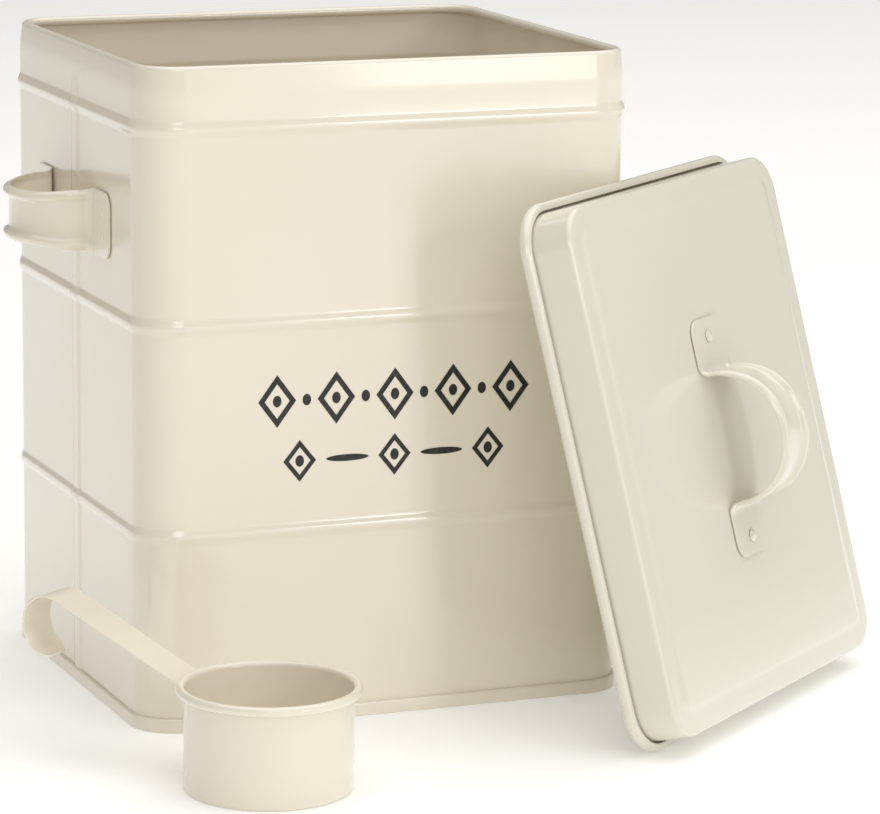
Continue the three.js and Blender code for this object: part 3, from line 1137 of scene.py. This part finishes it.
@dataclass
class Scoop:
    """The measuring scoop: a drawn cup with a rolled rim, and a flat strap with a curled hook.

    Attributes:
        press: What sweeps the cup.
        finish: Enamel of the scoop.
        radius: Outside radius of the cup's wall.
        height: Height of the cup.
        turn: Direction of the strap seen from above.
    """

    press: Press
    finish: Material
    radius: float = 30.7
    height: float = 38.5
    base_radius: float = 1.6
    base_flat: float = 10.0
    roll: float = 3.5
    roll_gap: float = 0.8
    turn: float = radians(126)
    strap_width: float = 16.2
    tab_height: float = 11.0
    tab_drop: float = 6.9
    rise: float = radians(23)
    reach: float = 61.3
    bend: float = 2.0
    hook_radius: float = 10.8
    tip_radius: float = 14.0
    tip_sweep: float = radians(72)
    tip_corner: float = 5.0
    edge_round: float = 0.18
    cup_sides: int = 96
    base_steps: int = 8
    roll_steps: int = 28
    bend_steps: int = 8
    hook_steps: int = 36
    tip_steps: int = 14
    corner_steps: int = 12
    half_cells: int = 5

    def cup_section(self) -> list[Point2]:
        """Returns the cup's section from under its bottom round the rim to the inside bottom."""
        roll = self.roll / 2
        x = self.radius - SHEET + roll
        z = self.height - roll
        end = -acos((self.radius + self.roll_gap - x) / roll)
        bend = self.base_radius
        corner = self.radius - bend
        line = [
            (corner - self.base_flat, 0.0),
            *arc(corner, bend, bend, -pi / 2, 0, self.base_steps),
            *arc(x, z, roll - SHEET, pi, end, self.roll_steps),
            *arc(x, z, roll, end, pi, self.roll_steps),
            *arc(corner, bend, bend - SHEET, 0, -pi / 2, self.base_steps),
            (corner - self.base_flat, SHEET),
        ]
        return [(r - self.radius, up) for r, up in line]

    def cup(self) -> bpy.types.Object:
        """Builds the cup about its own axis."""
        values = {"Radius": self.radius, "Steps": self.cup_sides}
        return self.press.sweep(
            "cup_drawing", self.cup_section(), self.finish, values, closed=False, turn=Turn.CIRCLE
        )

    def strap_path(self) -> list[Station]:
        """Returns the strap's stations: place, way out, how far it curls round the cup, narrowing."""
        wall = self.radius + SEAT_GAP
        bend_turn = pi / 2 - self.rise
        bend_x = wall + STRAP_SHEET + self.bend
        bend_z = self.height - self.tab_drop
        line = [(wall + STRAP_SHEET, bend_z - self.tab_height, 1.0, 0.0, 1.0, 0.0)]
        for i in range(self.bend_steps + 1):
            share = i / self.bend_steps
            turn = bend_turn * share
            place = (bend_x - self.bend * cos(turn), bend_z + self.bend * sin(turn))
            line.append((*place, cos(turn), -sin(turn), 1 - ease(share), 0.0))
        return line + self._hook_path(Vector(line[-1][:2]))

    def _hook_path(self, start: Vector) -> list[Station]:
        """Returns the hook's stations: over its top to straight down, then wider to its tip.

        Args:
            start: Where the strap's straight rise starts.

        Returns:
            The same kind of stations as the strap's.
        """
        way = Vector((cos(self.rise), sin(self.rise)))
        hole = self.hook_radius - STRAP_SHEET
        wide = self.tip_radius - STRAP_SHEET
        centre = start + way * self.reach + Vector((way.y, -way.x)) * hole
        tip_centre = centre + Vector((hole - wide, 0.0))
        first = pi / 2 + self.rise
        rounding = self.tip_corner / wide
        straight = self.tip_sweep - rounding
        hook = self.hook_steps
        tip = self.tip_steps
        turns = [(centre, hole, first * (1 - i / hook), 0.0) for i in range(hook + 1)]
        turns += [(tip_centre, wide, -straight * i / tip, 0.0) for i in range(1, tip + 1)]
        for i in range(1, self.corner_steps + 1):
            share = i / self.corner_steps * pi / 2
            narrow = self.tip_corner * (1 - cos(share))
            turns.append((tip_centre, wide, -straight - rounding * sin(share), narrow))
        line = []
        for middle, radius, angle, narrow in turns:
            out = Vector((cos(angle), sin(angle)))
            place = middle + out * radius
            line.append((place.x, place.y, -out.x, -out.y, 0.0, narrow))
        return line

    def strap(self) -> bpy.types.Object:
        """Builds the strap along X from the cup's axis."""
        half = self.strap_width / 2
        soft = self.edge_round
        rings = []
        for x, z, nx, nz, curl, narrow in self.strap_path():
            reach = half - narrow
            face = [(reach - soft) * (1 - i / self.half_cells) for i in range(2 * self.half_cells + 1)]
            lower = [(reach, soft), *((s, 0.0) for s in face), (-reach, soft)]
            upper = [(s, STRAP_SHEET - depth) for s, depth in reversed(lower)]
            ring = []
            for s, depth in lower + upper:
                sag = curl * s * s / 2 / self.radius
                ring.append((x - depth * nx - sag, s, z - depth * nz))
            rings.append(ring)
        return loft("scoop_strap", rings, self.finish)

    def build(self, centre: Vector) -> None:
        """Builds and ties the cup and its strap.

        Args:
            centre: Middle of the cup's foot, in metres.
        """
        place = Matrix.Translation(centre) @ Matrix.Rotation(self.turn, 4, "Z")
        settle(self.cup(), place, "scoop_cup")
        settle(self.strap(), place, "scoop_handle")


@dataclass
class SideHandles:
    """The two strap handles that are welded to the tin's ends.

    Attributes:
        finish: Enamel of the handles.
        tin: The body that carries them.
        drop: How far their middle is below the rim.
        rise: How far their arch stands out.
    """

    finish: Material
    tin: Tin
    drop: float = 64.3
    rise: float = 24.8

    def build(self, place: Matrix) -> None:
        """Builds and ties both handles with their welds.

        Args:
            place: The tin's place, in metres.
        """
        welds = Welds(self.finish)
        for side, way in (("left", -1), ("right", 1)):
            spot = Matrix.Translation((way * self.tin.width / 2, 0, self.tin.height - self.drop))
            seat = spot @ Matrix.Rotation(way * pi / 2, 4, "Z") @ Matrix.Rotation(pi / 2, 4, "X")
            handle = StrapHandle(self.finish, rise=self.rise).mesh(f"{side}_strap")
            handle.data.transform(seat)
            settle(handle, place, f"{side}_handle")
            welds.build(f"{side}_welds", seat, place)


@dataclass(frozen=True)
class Softbox:
    """A rectangular studio light that faces the tin.

    Attributes:
        name: Name of the light.
        place: Its place from the middle of the tin's foot, in metres.
        aim: What it faces, from the same point.
        size: Width and height, in metres.
        power: Strength in watts.
    """

    name: str
    place: Point3
    aim: Point3
    size: Point2
    power: float

    def build(self, centre: Vector) -> None:
        """Sets the light up around the tin."""
        light = bpy.data.lights.new(self.name, "AREA")
        light.shape = "RECTANGLE"
        light.size, light.size_y = self.size
        light.energy = self.power
        way = Vector(self.aim) - Vector(self.place)
        turn = way.to_track_quat("-Z", "Y").to_matrix().to_4x4()
        show(self.name, light).matrix_world = Matrix.Translation(centre + Vector(self.place)) @ turn


@dataclass
class Studio:
    """A pale floor, soft light and a camera where the photograph was taken from.

    Attributes:
        boxes: The softboxes.
        sky: Strength of the even light from all round.
        sky_tint: Its colour.
        floor_glow: How brightly the floor is lit from below, as a light table is.
    """

    boxes: list[Softbox] = field(
        default_factory=lambda: [
            Softbox("key_box", (-0.45, -2.6, 1.3), (0.0, 0.0, 0.12), (1.2, 0.9), 9.5),
            Softbox("window_box", (0.99, -2.3, 0.3), (0.0, -0.09, 0.2), (0.36, 0.45), 1.9),
            Softbox("halo_box", (0.93, -2.35, 0.3), (0.0, -0.09, 0.2), (0.66, 0.6), 1.0),
            Softbox("strip_box", (0.99, -2.3, 0.85), (0.0, -0.09, 0.2), (0.38, 0.3), 4.5),
            Softbox("ceiling_box", (0.8, -0.2, 3.0), (0.8, -0.2, 0.0), (4.4, 4.4), 92.0),
        ]
    )
    sky: float = 0.35
    sky_tint: Colour = (1.0, 0.955, 0.88)
    floor_size: float = 12.0
    floor_light: Colour = (252, 252, 251)
    floor_dark: Colour = (249, 249, 248)
    floor_glow: float = 0.17
    floor_mottle: float = 3.0
    image_size: Point2 = (880.0, 814.0)
    focal_pixels: float = 4276.6
    sensor: float = 36.0
    eye: Point3 = (-0.5763, -1.5503, 0.4421)
    yaw: float = radians(22.117)
    pitch: float = radians(-11.602)
    roll: float = radians(0.632)

    def floor(self, centre: Vector) -> None:
        """Lays the floor, with a faint mottle."""
        half = self.floor_size / 2
        square = ((-1, -1), (1, -1), (1, 1), (-1, 1))
        spots = [(centre.x + x * half, centre.y + y * half, 0.0) for x, y in square]
        mesh = bpy.data.meshes.new("studio_floor")
        mesh.from_pydata(spots, [], [(0, 1, 2, 3)])
        ground = Paint("studio_floor")
        mottle = ground.noise(self.floor_mottle, detail=2.0)
        tone = ground.ramp(mottle, linear(self.floor_light), linear(self.floor_dark))
        look = {"Base Color": tone, "Roughness": 0.7, "Emission Strength": self.floor_glow}
        ground.feed(ground.shader, look)
        mesh.materials.append(ground.made)
        show("studio_floor", mesh)

    def camera(self, centre: Vector) -> None:
        """Sets the camera at the photograph's place and angle."""
        data = bpy.data.cameras.new("photo_view")
        data.sensor_fit = "HORIZONTAL"
        data.sensor_width = self.sensor
        data.lens = self.focal_pixels / self.image_size[0] * self.sensor
        level = cos(self.pitch)
        forward = Vector((sin(self.yaw) * level, cos(self.yaw) * level, sin(self.pitch)))
        right = Vector((cos(self.yaw), -sin(self.yaw), 0.0))
        upward = right.cross(forward)
        across = right * cos(self.roll) + upward * sin(self.roll)
        above = upward * cos(self.roll) - right * sin(self.roll)
        axes = Matrix((across, above, -forward)).transposed().to_4x4()
        eye = show("photo_view", data)
        eye.matrix_world = Matrix.Translation(centre + Vector(self.eye)) @ axes
        bpy.context.scene.camera = eye

    def world(self) -> None:
        """Surrounds everything with an even pale light."""
        world = bpy.data.worlds.new("studio_world")
        world.use_nodes = True
        backdrop = world.node_tree.nodes["Background"]
        backdrop.inputs["Color"].default_value = (*self.sky_tint, 1.0)
        backdrop.inputs["Strength"].default_value = self.sky
        bpy.context.scene.world = world
        bpy.context.scene.view_settings.view_transform = "Standard"

    def build(self, centre: Vector) -> None:
        """Builds the studio around the tin."""
        self.floor(centre)
        self.world()
        self.camera(centre)
        for softbox in self.boxes:
            softbox.build(centre)


def foot_middle(node: str) -> Vector:
    """Returns the middle of a node's footprint on the floor, in metres."""
    low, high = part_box(node)
    return Vector(((low.x + high.x) / 2, (low.y + high.y) / 2, 0.0))


def main() -> None:
    """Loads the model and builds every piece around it."""
    logging.basicConfig(level=logging.INFO, format="%(message)s")
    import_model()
    press = Press()
    cream = Enamel("cream_enamel", (238, 231, 215), (233, 225, 207)).material()
    # The lid is the same cream enamel made a little greyer: painted shade for its tilted panel, which
    # takes less light.
    cream_with_painted_shade = Enamel("lid_enamel", (229, 225, 211), (224, 220, 204)).material()
    centre = foot_middle("tin_base")
    place = Matrix.Translation(centre)
    tin = Tin(press, cream)
    tin.build(place)
    Stencil(Ink().material()).build(place, tin.depth / 2)
    SideHandles(cream, tin).build(place)
    Lid(press, cream_with_painted_shade, tin).build(centre)
    Scoop(press, cream).build(foot_middle("scoop_cup"))
    Studio().build(centre)


if __name__ == "__main__":
    main()
